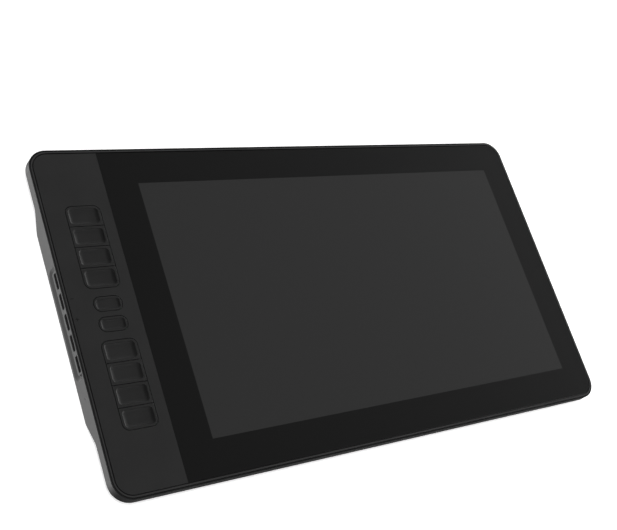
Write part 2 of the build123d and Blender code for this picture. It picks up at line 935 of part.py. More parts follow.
def side_screw_places():
    """The two screws of the side board."""
    reach = island_half + side_boss_width / 2
    depth = (side_board_top + side_board_bottom) / 2
    return [(side_offset - reach, depth), (side_offset + reach, depth)]


def make_side_switches():
    """One tact switch behind each side key."""
    switches = []
    for y in side_key_places():
        body_out = side_board_out - side_switch_body - half_length
        shallow = side_middle - side_switch_height / 2
        deep = side_middle + side_switch_height / 2
        reach = switch_size / 2
        body = block(body_out, side_board_out - half_length, y - reach, y + reach, deep, shallow)
        face = side_plane(side_board_out - side_switch_body, y, side_middle)
        switches.append(body + extrude(face * Circle(button_radius), -side_button))
    return switches


def side_screw(y, depth):
    """A screw driven outwards through the side board into its boss."""
    seat = side_plane(side_board_in, y, depth)
    grip = side_board_thickness + small_screw_grip - part_gap
    shaft = extrude(seat * Circle(small_screw_radius), -grip)
    return shaft + extrude(seat * Circle(small_head_radius), small_head_height)


# Main board, its parts and the sockets

def make_main_board():
    """The main board, with its screw holes."""
    board = plate(board_length, board_width, board_corner, board_top, board_bottom, board_x)
    for x, y in board_screw_places():
        board -= screw_hole(x, y, board_top, board_bottom)
    return board


def make_board_chips():
    """Chips and coils on the main board."""
    chips = []
    for shares, height in ((chip_shares, chip_height), (coil_shares, coil_height)):
        for x_share, y_share, length_share, width_share in shares:
            x = board_x + x_share * board_length / 2
            y = y_share * board_width / 2
            length = length_share * board_length
            width = width_share * board_width
            chips.append(sheet(length, width, board_top - height, board_top, x, y))
    return chips


def board_screw(x, y):
    """A screw driven down through the main board into its standoff."""
    shaft = peg(x, y, small_screw_radius, board_top, board_bottom + small_screw_grip)
    return shaft + peg(x, y, small_head_radius, board_top - small_head_height, board_top)


def make_power_socket():
    """The round power socket: a body, and a bored nose that reaches through the wall."""
    back = power_plane(power_depth)
    body_length = power_depth - cover_wall - socket_gap
    socket = extrude(back * Rectangle(power_width, power_height), body_length)
    socket += extrude(back * Circle(power_nose_radius), power_depth - socket_recess)
    socket -= extrude(power_plane(socket_recess) * Circle(power_bore_radius), -power_bore_depth)
    seat = power_plane(socket_recess + power_bore_depth)
    return socket - extrude(seat * Circle(power_foot_radius + screw_gap), -power_foot_length)


def make_power_pin():
    """The centre pin of the power socket, set back from its mouth, with a foot in its body."""
    base = power_plane(socket_recess + power_bore_depth)
    pin = extrude(base * Circle(power_pin_radius), power_bore_depth - power_pin_set_back)
    pin = fillet(pin.faces().sort_by(Axis.X)[-1].edges(), power_pin_round)
    return pin + extrude(base * Circle(power_foot_radius), -power_foot_length)


def make_video_socket():
    """The shell of the video socket, with bevelled lower corners in its opening."""
    shell = Rectangle(video_width, video_height)
    socket = extrude(video_plane(video_depth) * shell, video_depth - socket_recess)
    opening = Rectangle(video_width - 2 * socket_wall, video_height - 2 * socket_wall)
    opening = chamfer([v for v in opening.vertices() if v.Y < 0], video_bevel)
    return socket - extrude(video_plane(socket_recess) * opening, -video_cavity_depth)


def make_video_tongue():
    """The contact tongue of the video socket, on the back of its shell."""
    tongue = Rectangle(video_tongue_width, video_tongue_thickness)
    return extrude(video_plane(video_cavity_depth + socket_recess) * tongue, video_tongue_length)


def make_data_socket():
    """The rounded shell of the data socket."""
    shell = SlotOverall(data_width, data_height)
    socket = extrude(data_plane(data_depth) * shell, data_depth - socket_recess)
    opening = SlotOverall(data_width - 2 * socket_wall, data_height - 2 * socket_wall)
    return socket - extrude(data_plane(socket_recess) * opening, -data_cavity_depth)


def make_data_tongue():
    """The thin contact tongue of the data socket, on the back of its shell."""
    tongue = Rectangle(data_tongue_width, data_tongue_thickness)
    return extrude(data_plane(data_cavity_depth + socket_recess) * tongue, data_tongue_length)


# Flat cables and connectors

def make_display_flex():
    """From the back of the display, through the boards under it, to the main board."""
    x = board_x + cable_x_share * board_length
    y = -board_width / 2 * cable_end_share - cable_thickness / 2
    end = board_top - connector_height - cable_thickness
    middle = (shield_bottom + end) / 2
    route = [(y, tray_bottom), (y, middle), (y - cable_step, middle), (y - cable_step, end)]
    return ribbon(route, display_cable_width, x, False)


def make_sensor_flex():
    """From the sensor board, through the shield, to the main board."""
    x = board_x + cable_x_share * board_length
    y = board_width / 2 * cable_end_share - cable_thickness / 2
    end = board_top - connector_height - cable_thickness
    middle = (shield_bottom + end) / 2
    route = [(y, sensor_bottom), (y, middle), (y + cable_step, middle), (y + cable_step, end)]
    return ribbon(route, sensor_cable_width, x, False)


def make_key_flex():
    """From the key board, under the shield, to the main board."""
    start = column_x + connector_length
    low = key_board_bottom + connector_height / 2
    rise = active_x - ring_length / 2 + cable_step
    drop = board_x - board_length / 2 - cable_step
    end = board_x - board_length / 2 + connector_side
    plug = board_top - connector_height / 2
    route = [
        (start, low),
        (rise, low),
        (rise, shield_bottom),
        (drop, shield_bottom),
        (drop, plug),
        (end - cable_thickness, plug),
    ]
    return ribbon(route, key_cable_width, 0, True)


def make_side_flex():
    """From the side board down and under the key board."""
    x = side_board_in - half_length
    y = side_offset - side_reach * side_cable_y_share
    low = key_board_bottom + connector_height / 2
    end = key_board_left + connector_side - cable_thickness
    return ribbon([(x, side_middle), (x, low), (end, low)], side_cable_width, y, True)


def make_cable_connectors():
    """The connectors of the flat cables, on the main board and under the key board."""
    x = board_x + cable_x_share * board_length
    reach = board_width / 2 * cable_end_share + cable_step
    display_grip = display_cable_width + connector_side
    sensor_grip = sensor_cable_width + connector_side
    shallow = board_top - connector_height
    under = key_board_bottom + connector_height
    key_end = board_x - board_length / 2 + connector_side
    side_y = side_offset - side_reach * side_cable_y_share
    side_x = key_board_left + connector_side
    grip = key_cable_width + connector_side
    return [
        sheet(display_grip, connector_side, shallow, board_top, x, -reach),
        sheet(sensor_grip, connector_side, shallow, board_top, x, reach),
        block(key_end, key_end + connector_length, -grip / 2, grip / 2, board_top, shallow),
        block(column_x, column_x + connector_length, -grip / 2, grip / 2, under, key_board_bottom),
        block(
            side_x, side_x + connector_length, side_y - side_cable_width / 2 - connector_side / 2,
            side_y + side_cable_width / 2 + connector_side / 2, under, key_board_bottom,
        ),
    ]


# Small outside parts

def make_indicator_lens():
    """The round window of the indicator."""
    face = side_plane(indicator_recess, indicator_y, indicator_depth)
    return extrude(face * Circle(indicator_radius), indicator_length)


def make_mount_inserts():
    """Threaded inserts, open to the underside."""
    deep = case_depth - insert_recess
    inserts = []
    for x, y in insert_places():
        ring = peg(x, y, insert_radius, deep - insert_length, deep)
        inserts.append(ring - peg(x, y, insert_bore, deep - insert_length - overrun, deep + overrun))
    return inserts


def make_rubber_feet():
    """Long rubber feet in their recesses."""
    feet = []
    for x, y in foot_places():
        recess = case_depth - foot_recess
        face = case_depth + foot_proud
        foot = plate(foot_length, foot_width, foot_width / 2 - foot_gap, recess, face, x, y)
        feet.append(fillet(foot.faces().sort_by(Axis.Z)[0].edges(), foot_round))
    return feet


os.makedirs("parts", exist_ok=True)

save("back_cover", make_back_cover())
save("front_frame", make_front_frame())
save("cover_glass", make_cover_glass())
save("key_panel", make_key_panel())
save("glass_tape", make_glass_tape())
save("panel_tape", make_panel_tape())

save("lcd_panel", sheet(cell_length, cell_width, glass_thickness, tray_top, active_x, cell_y))
save("backlight", sheet(tray_length, tray_width, tray_top, tray_bottom, active_x, cell_y))
save("digitizer_board", make_sensor_board())
save("shield_plate", make_shield_plate())
shield_grip = shield_bottom - tray_bottom + small_screw_grip - part_gap
save("shield_screws", *[small_screw(x, y, shield_bottom, shield_grip) for x, y in shield_screw_places()])

express_keys = make_cluster_keys(cluster_y)
express_keys += [make_pill_key(pill_y), make_pill_key(-pill_y)]
express_keys += make_cluster_keys(-cluster_y)
for number, key in enumerate(express_keys, 1):
    save(f"express_key_{number}", key)
save("key_board", make_key_board())
save("key_switches", *make_key_switches())
key_board_grip = key_board_thickness + small_screw_grip - part_gap
save("key_board_screws", *[small_screw(x, y, key_board_bottom, key_board_grip) for x, y in post_places()])

for number, place_y in enumerate(side_key_places(), 1):
    save(f"side_key_{number}", make_side_key(place_y))
save("side_board", make_side_board())
save("side_switches", *make_side_switches())
save("side_board_screws", *[side_screw(y, depth) for y, depth in side_screw_places()])

save("main_board", make_main_board())
save("board_chips", *make_board_chips())
save("main_board_screws", *[board_screw(x, y) for x, y in board_screw_places()])
save("power_socket", make_power_socket())
save("power_pin", make_power_pin())
save("video_socket", make_video_socket())
save("video_tongue", make_video_tongue())
save("data_socket", make_data_socket())
save("data_tongue", make_data_tongue())

save("display_flex", make_display_flex())
save("sensor_flex", make_sensor_flex())
save("key_flex", make_key_flex())
save("side_flex", make_side_flex())
save("cable_connectors", *make_cable_connectors())

save("indicator_lens", make_indicator_lens())
save("case_screws", *[case_screw(x, y) for x, y in case_screw_places()])
save("mount_inserts", *make_mount_inserts())
save("rubber_feet", *make_rubber_feet())

print("case", round(case_length, 2), round(case_width, 2), round(screen_z, 2))
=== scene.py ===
from math import cos, pi, radians, sin, tau

import bmesh
import bpy
from mathutils import Matrix, Vector


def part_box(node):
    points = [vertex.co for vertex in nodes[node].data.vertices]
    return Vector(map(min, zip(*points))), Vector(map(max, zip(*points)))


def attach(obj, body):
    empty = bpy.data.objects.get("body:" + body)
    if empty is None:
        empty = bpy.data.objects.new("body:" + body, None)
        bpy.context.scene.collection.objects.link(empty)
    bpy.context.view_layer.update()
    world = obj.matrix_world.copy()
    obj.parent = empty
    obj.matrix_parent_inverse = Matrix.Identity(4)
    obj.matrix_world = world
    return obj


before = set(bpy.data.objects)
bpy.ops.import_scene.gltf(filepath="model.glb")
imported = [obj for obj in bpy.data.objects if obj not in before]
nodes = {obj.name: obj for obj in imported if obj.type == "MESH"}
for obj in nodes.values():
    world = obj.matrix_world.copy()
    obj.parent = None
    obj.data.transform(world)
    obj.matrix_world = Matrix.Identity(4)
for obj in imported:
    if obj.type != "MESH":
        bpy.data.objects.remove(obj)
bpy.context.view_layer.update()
mm = 0.001


# Camera
# It looks across the screen from above the lower left corner, as the photograph does. Its place
# and its lens were worked out from the four corners of the lit area.
camera_place = Vector((-0.4727, -0.2213, 0.6148))
camera_forward = Vector((0.5654, 0.2696, -0.7795))
camera_up = Vector((0.1039, 0.9143, 0.3916))
camera_lens = 59.74
camera_sensor = 36.0
camera_shift = 0.0714

camera_data = bpy.data.cameras.new("camera")
camera_data.lens = camera_lens
camera_data.sensor_width = camera_sensor
camera_data.shift_y = camera_shift
camera = bpy.data.objects.new("camera", camera_data)
bpy.context.scene.collection.objects.link(camera)
camera_right = camera_forward.cross(camera_up).normalized()
camera_top = camera_right.cross(camera_forward).normalized()
camera.matrix_world = Matrix.Translation(camera_place) @ Matrix(
    (camera_right, camera_top, -camera_forward.normalized())
).transposed().to_4x4()
bpy.context.scene.camera = camera


# Studio
# A sheet of white paper, clear when seen from below, under a soft lamp that a flag keeps out of
# the glass. The room is dim but for a pale wall to the right and the paper's sweep at the horizon.
floor_half = 20.0
paper_shades = (0.945, 0.965)
paper_fibre_scale = 40.0
paper_fibre_detail = 2.0
paper_lift = 0.36
lamp_direction = Vector((-0.36, -0.09, 0.93))
lamp_strength = 2.6
lamp_angle = radians(25)
pale_wall_side = Vector((1.0, 0.0, 0.0))
pale_wall_width = (0.5, 0.95)
pale_wall_top = (0.1, 0.36)
pale_wall_glow = 3.3
far_side_width = (-0.2, 0.5)
far_glow = 0.305
room_glow = 0.045
sweep_top = (0.06, 0.24)
sweep_glow = 0.95


def place(tree, kind, inputs=None, **settings):
    """Adds a shader node, with its options and the values of its unlinked inputs."""
    node = tree.nodes.new(kind)
    for option, value in settings.items():
        setattr(node, option, value)
    for socket, value in (inputs or {}).items():
        node.inputs[socket].default_value = value
    return node


def spread(tree, source, low, high, start=0.0, end=1.0):
    """Maps a value from the range low to high onto the range start to end, with soft ends."""
    node = place(tree, "ShaderNodeMapRange", {1: low, 2: high, 3: start, 4: end})
    node.interpolation_type = "SMOOTHSTEP"
    tree.links.new(source, node.inputs[0])
    return node.outputs[0]


def sum_of(tree, operation, first, second=0.0):
    """One sum on two values, each a socket or a number."""
    node = place(tree, "ShaderNodeMath", operation=operation)
    for slot, value in enumerate((first, second)):
        if isinstance(value, (int, float)):
            node.inputs[slot].default_value = value
        else:
            tree.links.new(value, node.inputs[slot])
    return node.outputs[0]


def grey(value):
    """A neutral colour."""
    return (value, value, value, 1.0)


def mixed(tree, factor, first, second):
    """A blend of two colours by a socket."""
    node = place(tree, "ShaderNodeMix", data_type="RGBA")
    for slot, value in (("A", first), ("B", second)):
        if isinstance(value, tuple):
            node.inputs[slot].default_value = value
        else:
            tree.links.new(value, node.inputs[slot])
    tree.links.new(factor, node.inputs["Factor"])
    return node.outputs["Result"]


def new_material(name, metallic=0.0, specular=0.5):
    """A node material, with its tree and its shader."""
    material = bpy.data.materials.new(name)
    material.use_nodes = True
    shader = material.node_tree.nodes["Principled BSDF"]
    shader.inputs["Metallic"].default_value = metallic
    shader.inputs["Specular IOR Level"].default_value = specular
    return material, material.node_tree, shader


room = bpy.data.worlds.new("room")
bpy.context.scene.world = room
room.use_nodes = True
tree = room.node_tree
backdrop = tree.nodes["Background"]
backdrop.inputs["Color"].default_value = grey(1.0)
direction = place(tree, "ShaderNodeTexCoord").outputs["Generated"]
across = place(tree, "ShaderNodeVectorMath", {1: pale_wall_side}, operation="DOT_PRODUCT")
tree.links.new(direction, across.inputs[0])
toward_wall = across.outputs["Value"]
upright = place(tree, "ShaderNodeSeparateXYZ")
tree.links.new(direction, upright.inputs[0])
height = upright.outputs["Z"]
on_wall = spread(tree, toward_wall, *pale_wall_width)
wall_glow = spread(tree, height, *pale_wall_top, pale_wall_glow, 0.0)
far_side = spread(tree, toward_wall, *far_side_width, room_glow, room_glow + far_glow)
sweep = spread(tree, height, *sweep_top, sweep_glow, 0.0)
glow = sum_of(tree, "ADD", sum_of(tree, "MULTIPLY", wall_glow, on_wall), far_side)
glow = sum_of(tree, "ADD", glow, sweep)
camera_ray = place(tree, "ShaderNodeLightPath").outputs["Is Camera Ray"]
tree.links.new(sum_of(tree, "MAXIMUM", glow, camera_ray), backdrop.inputs["Strength"])

lamp_data = bpy.data.lights.new("soft_lamp", "SUN")
lamp_data.energy = lamp_strength
lamp_data.angle = lamp_angle
lamp = bpy.data.objects.new("soft_lamp", lamp_data)
lamp.visible_glossy = False
lamp.rotation_mode = "QUATERNION"
lamp.rotation_quaternion = lamp_direction.to_track_quat("Z", "Y")
bpy.context.scene.collection.objects.link(lamp)

paper, tree, shader = new_material("floor_paper", specular=0.0)
shader.inputs["Roughness"].default_value = 1.0
fibres = place(
    tree, "ShaderNodeTexNoise", {"Scale": paper_fibre_scale, "Detail": paper_fibre_detail},
)
shade = mixed(tree, fibres.outputs["Fac"], grey(paper_shades[0]), grey(paper_shades[1]))
tree.links.new(shade, shader.inputs["Base Color"])
rays = place(tree, "ShaderNodeLightPath").outputs
seen = sum_of(tree, "MAXIMUM", rays["Is Camera Ray"], rays["Is Glossy Ray"])
shader.inputs["Emission Color"].default_value = grey(1.0)
tree.links.new(sum_of(tree, "MULTIPLY", seen, paper_lift), shader.inputs["Emission Strength"])
back_face = place(tree, "ShaderNodeNewGeometry").outputs["Backfacing"]
from_below = sum_of(tree, "MULTIPLY", rays["Is Camera Ray"], back_face)
clear = place(tree, "ShaderNodeBsdfTransparent").outputs[0]
sheet = place(tree, "ShaderNodeMixShader")
for slot, source in enumerate((from_below, shader.outputs[0], clear)):
    tree.links.new(source, sheet.inputs[slot])
tree.links.new(sheet.outputs[0], tree.nodes["Material Output"].inputs["Surface"])

floor_mesh = bpy.data.meshes.new("floor")
floor_mesh.from_pydata(
    [(x * floor_half, y * floor_half, 0.0) for x, y in ((-1, -1), (1, -1), (1, 1), (-1, 1))],
    [], [(0, 1, 2, 3)],
)
floor = bpy.data.objects.new("floor", floor_mesh)
floor.data.materials.append(paper)
bpy.context.scene.collection.objects.link(floor)

bpy.context.scene.view_settings.view_transform = "Standard"


# Back cover
# A tray moulded in black plastic, whose cavity was spark-eroded to a fine matt grain. The left
# wall was shaped by a side core with a smoother finish, because of the slots for its keys.
cover_shades = (0.0105, 0.0135)
cover_rough = 0.95
cover_sheen = 0.2
cover_grain = 0.32 * mm
cover_grain_depth = 0.006 * mm
core_rough = 0.35
core_gloss = 0.5
side_core_depth = 2.0 * mm
side_core_end = 7.0 * mm
side_core_half = 121 * mm
side_core_fade = 10 * mm
grain_roughness = 0.6
grain_pit_scale = 0.7
mottle_scale = 48.0
mottle_range = (0.3, 0.7)
edge_range = (0.8, 0.99)


def new_group(name, inputs, outputs):
    """An empty shader group, with its number inputs and its outputs."""
    group = bpy.data.node_groups.new(name, "ShaderNodeTree")
    for label, value in inputs.items():
        socket = group.interface.new_socket(label, in_out="INPUT", socket_type="NodeSocketFloat")
        socket.default_value = value
    for label in outputs:
        group.interface.new_socket(label, in_out="OUTPUT", socket_type="NodeSocketFloat")
    given = group.nodes.new("NodeGroupInput").outputs
    return group, given, group.nodes.new("NodeGroupOutput").inputs


def place_group(tree, group, values):
    """Places a shader group with its own values, and gives its outputs."""
    node = tree.nodes.new("ShaderNodeGroup")
    node.node_tree = group
    for label, value in values.items():
        node.inputs[label].default_value = value
    return node.outputs


def piece_place(tree, size=None):
    """The place on the piece itself, in metres, or counted in steps of a size."""
    place_on = place(tree, "ShaderNodeTexCoord").outputs["Object"]
    if size is None:
        return place_on
    scaled = place(tree, "ShaderNodeVectorMath", operation="SCALE")
    tree.links.new(place_on, scaled.inputs[0])
    tree.links.new(sum_of(tree, "DIVIDE", 1.0, size), scaled.inputs["Scale"])
    return scaled.outputs[0]


def piece_axes(tree):
    """The place on the piece itself as its X, Y and Z, in metres."""
    axes = place(tree, "ShaderNodeSeparateXYZ")
    tree.links.new(piece_place(tree), axes.inputs[0])
    return axes.outputs


# The grain that a spark-eroded mould leaves, and the faint cloudiness of the plastic.
moulded_grain, given, result = new_group(
    "moulded_grain", {"Grain Size": 0.3 * mm}, ["Height", "Mottle"],
)
spots = place(
    moulded_grain, "ShaderNodeTexNoise",
    {"Scale": 1.0, "Detail": 2.0, "Roughness": grain_roughness},
)
pits = place(moulded_grain, "ShaderNodeTexVoronoi", {"Scale": grain_pit_scale}, feature="SMOOTH_F1")
cloud = place(moulded_grain, "ShaderNodeTexNoise", {"Scale": mottle_scale, "Detail": 3.0})
fine_place = piece_place(moulded_grain, given["Grain Size"])
moulded_grain.links.new(fine_place, spots.inputs["Vector"])
moulded_grain.links.new(fine_place, pits.inputs["Vector"])
moulded_grain.links.new(piece_place(moulded_grain), cloud.inputs["Vector"])
grain_height = sum_of(moulded_grain, "ADD", spots.outputs["Fac"], pits.outputs["Distance"])
moulded_grain.links.new(grain_height, result["Height"])
mottle = spread(moulded_grain, cloud.outputs["Fac"], *mottle_range)
moulded_grain.links.new(mottle, result["Mottle"])

# The edges that hands and cloths rub smoother.
worn_edge, given, result = new_group("worn_edge", {"Radius": 0.3 * mm}, ["Edge"])
rounded = place(worn_edge, "ShaderNodeBevel", samples=4)
worn_edge.links.new(given["Radius"], rounded.inputs["Radius"])
facing = place(worn_edge, "ShaderNodeVectorMath", operation="DOT_PRODUCT")
worn_edge.links.new(rounded.outputs["Normal"], facing.inputs[0])
worn_edge.links.new(place(worn_edge, "ShaderNodeNewGeometry").outputs["Normal"], facing.inputs[1])
edge = spread(worn_edge, facing.outputs["Value"], *edge_range, 1.0, 0.0)
worn_edge.links.new(edge, result["Edge"])


def bump(tree, shader, height, depth):
    """Raises a surface by a height from 0 to 1 times a depth."""
    relief = place(tree, "ShaderNodeBump", {"Strength": 1.0, "Distance": depth})
    tree.links.new(height, relief.inputs["Height"])
    tree.links.new(relief.outputs["Normal"], shader.inputs["Normal"])


def moulded_plastic(name, shades, rough, grain, depth, edge=0.3 * mm, rub=0.12, specular=0.5):
    """Moulded plastic with its grain, a faint mottle, and edges that are rubbed smoother."""
    material, tree, shader = new_material(name, specular=specular)
    texture = place_group(tree, moulded_grain, {"Grain Size": grain})
    rubbed = place_group(tree, worn_edge, {"Radius": edge})["Edge"]
    lighter = sum_of(tree, "MAXIMUM", texture["Mottle"], rubbed)
    colour = mixed(tree, lighter, grey(shades[0]), grey(shades[1]))
    tree.links.new(colour, shader.inputs["Base Color"])
    smoother = sum_of(tree, "SUBTRACT", rough, sum_of(tree, "MULTIPLY", rubbed, rub))
    tree.links.new(smoother, shader.inputs["Roughness"])
    bump(tree, shader, texture["Height"], depth)
    return material, tree, shader


def finish_of(material, *names):
    """Gives CAD nodes their finish."""
    for name in names:
        nodes[name].material_slots[0].material = material


cover_plastic, tree, shader = moulded_plastic(
    "cover_plastic", cover_shades, cover_rough, cover_grain, cover_grain_depth, rub=0.0,
    specular=cover_sheen,
)
cover_low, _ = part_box("back_cover")
on_piece = piece_axes(tree)
core_start = cover_low.x + side_core_depth
core_end = cover_low.x + side_core_end
at_wall = spread(tree, on_piece["X"], core_start, core_end, 1.0, 0.0)
off_middle = sum_of(tree, "ABSOLUTE", on_piece["Y"])
along_wall = spread(
    tree, off_middle, side_core_half - side_core_fade, side_core_half, 1.0, 0.0,
)
by_core = sum_of(tree, "MULTIPLY", at_wall, along_wall)
rough_change = sum_of(tree, "MULTIPLY", by_core, core_rough - cover_rough)
tree.links.new(sum_of(tree, "ADD", rough_change, cover_rough), shader.inputs["Roughness"])
tree.links.new(sum_of(tree, "MULTIPLY", by_core, core_gloss), shader.inputs["Coat Weight"])
shader.inputs["Coat Roughness"].default_value = core_rough
finish_of(cover_plastic, "back_cover")


# Front frame
# A second moulding in the same plastic, held in the cover by screws from below. Only its narrow
# rim shows, a little lighter than the cover. Below the rim's top the groove has painted shade.
frame_shades = (0.016, 0.0205)
frame_rough = 0.42
frame_sheen = 0.62
frame_grain = 0.25 * mm
frame_grain_depth = 0.003 * mm
painted_recess_shade = 0.003
rim_reach = 0.3 * mm


def feed_of(shader, socket):
    """What feeds a socket of the shader so far."""
    return shader.inputs[socket].links[0].from_socket


frame_plastic, tree, shader = moulded_plastic(
    "frame_plastic", frame_shades, frame_rough, frame_grain, frame_grain_depth,
    edge=0.2 * mm, rub=0.1, specular=frame_sheen,
)
_, frame_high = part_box("front_frame")
# Painted shade: below the top of the rim, the groove and recess are coloured nearly black.
on_rim = spread(tree, piece_axes(tree)["Z"], frame_high.z - rim_reach, frame_high.z)
rim_and_painted_shade_colour = mixed(tree, on_rim, grey(painted_recess_shade), feed_of(shader, "Base Color"))
tree.links.new(rim_and_painted_shade_colour, shader.inputs["Base Color"])
finish_of(frame_plastic, "front_frame")


# Key panel
# A thin matt plate glued flush with the glass. A minus and a plus are printed beside two of the
# side keys, in ink a little darker than the plate.
panel_shades = (0.0082, 0.0102)
panel_rough = 0.58
panel_sheen = 0.68
panel_grain = 0.28 * mm
panel_grain_depth = 0.004 * mm
smear_range = (0.35, 0.75)
mark_shades = (0.003, 0.0048)
mark_rough = (0.5, 0.62)
mark_sheen = 0.3
mark_speckle = 0.1 * mm
mark_length = 2.4 * mm
mark_stroke = 0.5 * mm
mark_height = 0.02 * mm
mark_x = -218.8 * mm

# The thin film of grease that fingers leave, in patches.
finger_haze, given, result = new_group("finger_haze", {"Patch Size": 30 * mm}, ["Haze"])
smears = place(
    finger_haze, "ShaderNodeTexNoise", {"Scale": 1.0, "Detail": 4.0, "Distortion": 1.1},
)
finger_haze.links.new(piece_place(finger_haze, given["Patch Size"]), smears.inputs["Vector"])
haze = spread(finger_haze, smears.outputs["Fac"], *smear_range, -0.5, 0.5)
finger_haze.links.new(haze, result["Haze"])


def handled(tree, shader, patch, change):
    """Lets the roughness wander a little, as skin leaves it."""
    haze = place_group(tree, finger_haze, {"Patch Size": patch})["Haze"]
    wander = sum_of(tree, "MULTIPLY", haze, change)
    rough = sum_of(tree, "ADD", feed_of(shader, "Roughness"), wander)
    tree.links.new(rough, shader.inputs["Roughness"])


def new_piece(name, material, body="case"):
    """An empty mesh piece that rides on a body."""
    piece = bpy.data.objects.new(name, bpy.data.meshes.new(name))
    piece.data.materials.append(material)
    bpy.context.scene.collection.objects.link(piece)
    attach(piece, body)
    return piece


def add_prism(mesh, outline, low, high, matrix=Matrix()):
    """A closed prism over an outline of (x, y) points, between two heights."""
    bottom = [mesh.verts.new(matrix @ Vector((x, y, low))) for x, y in outline]
    top = [mesh.verts.new(matrix @ Vector((x, y, high))) for x, y in outline]
    mesh.faces.new(reversed(bottom))
    mesh.faces.new(top)
    for index in range(len(outline)):
        after = (index + 1) % len(outline)
        mesh.faces.new((bottom[index], bottom[after], top[after], top[index]))


def finish_mesh(mesh, piece):
    """Writes the mesh into its piece, with its faces turned outwards."""
    bmesh.ops.recalc_face_normals(mesh, faces=mesh.faces)
    mesh.to_mesh(piece.data)
    mesh.free()


panel_plastic, tree, shader = moulded_plastic(
    "panel_plastic", panel_shades, panel_rough, panel_grain, panel_grain_depth,
    edge=0.15 * mm, rub=0.05, specular=panel_sheen,
)
handled(tree, shader, patch=26 * mm, change=0.04)
finish_of(panel_plastic, "key_panel")

mark_ink, tree, shader = new_material("mark_ink", specular=mark_sheen)
speckle = place_group(tree, moulded_grain, {"Grain Size": mark_speckle})["Mottle"]
mark_colour = mixed(tree, speckle, grey(mark_shades[0]), grey(mark_shades[1]))
tree.links.new(mark_colour, shader.inputs["Base Color"])
tree.links.new(spread(tree, speckle, 0.0, 1.0, *mark_rough), shader.inputs["Roughness"])

_, panel_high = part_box("key_panel")
arm = mark_length / 2
stroke = mark_stroke / 2
minus_outline = [(-arm, -stroke), (arm, -stroke), (arm, stroke), (-arm, stroke)]
plus_outline = []
for quarter in range(4):
    turn = Matrix.Rotation(quarter * pi / 2, 2)
    for corner in ((stroke, stroke), (stroke, arm), (-stroke, arm)):
        plus_outline.append(tuple(turn @ Vector(corner)))
for name, outline, key in (
    ("minus_mark", minus_outline, "side_key_2"),
    ("plus_mark", plus_outline, "side_key_3"),
):
    key_low, key_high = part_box(key)
    middle = Matrix.Translation((mark_x, (key_low.y + key_high.y) / 2, panel_high.z))
    mark = new_piece(name, mark_ink)
    mesh = bmesh.new()
    add_prism(mesh, outline, -mark_height, mark_height, middle)
    finish_mesh(mesh, mark)


# Express keys
# Ten caps in the panel's plastic, each with a dish for a fingertip, and with flanges that keep it
# under the panel. The floors of the dishes are polished a little by use.
key_shades = (0.0058, 0.0078)
key_rough = 0.5
dish_polish = 0.06
dish_floor_drop = 0.9 * mm
dish_reach = 0.4 * mm

key_plastic, tree, shader = moulded_plastic(
    "key_plastic", key_shades, key_rough, panel_grain, panel_grain_depth,
    edge=0.12 * mm, rub=0.06, specular=panel_sheen,
)
_, key_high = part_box("express_key_1")
dish_floor = key_high.z - dish_floor_drop
in_dish = spread(tree, piece_axes(tree)["Z"], dish_floor, dish_floor + dish_reach, 1.0, 0.0)
polish = sum_of(tree, "MULTIPLY", in_dish, dish_polish)
polished = sum_of(tree, "SUBTRACT", feed_of(shader, "Roughness"), polish)
tree.links.new(polished, shader.inputs["Roughness"])
handled(tree, shader, patch=9 * mm, change=0.06)
finish_of(key_plastic, *[name for name in nodes if name.startswith("express_key")])


# Cover glass
# One sheet of glass, etched on its face so that it doesn't glare. Black ink behind it covers all
# but the lit area, where the dark grey of the resting display shows.
ink_shade = 0.0006
display_shade = 0.0198
etched_rough = 0.31
etch_change = 0.003
etch_grain = 0.12 * mm
etch_depth = 0.0004 * mm
glass_haze = 0.005
glass_haze_patch = 60 * mm
coating_sheen = 0.34
cell_border = 3.5 * mm
cell_driver_border = 6.0 * mm
lit_corner = 0.2 * mm
lit_softness = 0.08 * mm
pixel_pitch = 0.179 * mm
pixel_contrast = 0.10

# A field with rounded corners on the face of a piece, and the softness of its edge.
rounded_field, given, result = new_group(
    "rounded_field",
    {
        "Centre X": 0.0, "Centre Y": 0.0, "Half Length": 0.1, "Half Width": 0.1,
        "Corner": mm, "Softness": mm,
    },
    ["Mask"],
)
on_piece = piece_axes(rounded_field)
past = place(rounded_field, "ShaderNodeCombineXYZ")
for axis, centre, half in (("X", "Centre X", "Half Length"), ("Y", "Centre Y", "Half Width")):
    shifted = sum_of(rounded_field, "SUBTRACT", on_piece[axis], given[centre])
    distance = sum_of(rounded_field, "ABSOLUTE", shifted)
    outside = sum_of(rounded_field, "SUBTRACT", distance, given[half])
    past_corner = sum_of(rounded_field, "ADD", outside, given["Corner"])
    rounded_field.links.new(sum_of(rounded_field, "MAXIMUM", past_corner), past.inputs[axis])
radius = place(rounded_field, "ShaderNodeVectorMath", operation="LENGTH")
rounded_field.links.new(past.outputs[0], radius.inputs[0])
beyond = sum_of(rounded_field, "SUBTRACT", radius.outputs["Value"], given["Corner"])
faded = sum_of(rounded_field, "DIVIDE", beyond, given["Softness"])
rounded_field.links.new(spread(rounded_field, faded, -1.0, 1.0, 1.0, 0.0), result["Mask"])

